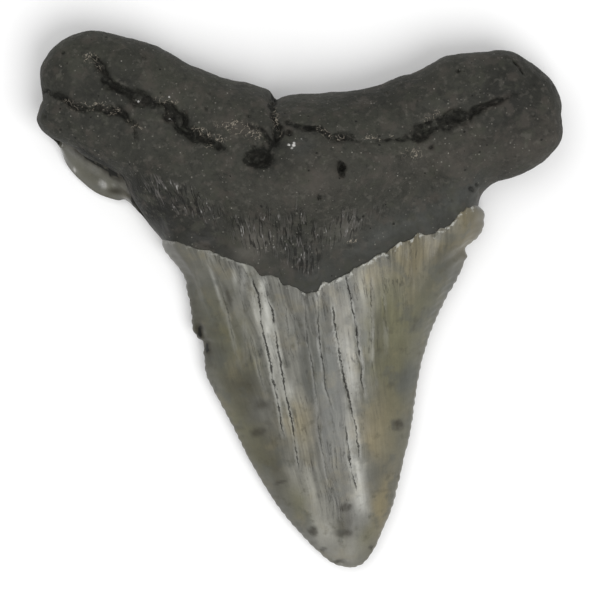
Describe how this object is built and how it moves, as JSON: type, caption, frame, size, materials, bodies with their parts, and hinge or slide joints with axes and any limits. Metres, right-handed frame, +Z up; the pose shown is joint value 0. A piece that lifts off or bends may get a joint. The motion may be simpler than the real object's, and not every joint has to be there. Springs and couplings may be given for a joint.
{
  "type": "fossil megalodon tooth",
  "caption": "Fossil megalodon shark tooth: a thick lobed dark root and a flat triangular grey enamel crown with worn serrated edges, lying on its flat labial face.",
  "frame": {"origin": "on the table, under the middle of the tooth's outline", "axes": "+X along the root from its left lobe to its right lobe, +Y from the crown's tip towards the root, +Z up from the table, out of the lingual face"},
  "size_m": [0.0523, 0.0538, 0.0125],
  "materials": {
    "fossil": "dark satin fossil root and grey, softly polished fossil enamel"
  },
  "bodies": {
    "root": {"tooth": "fossil"}
  },
  "joints": []
}
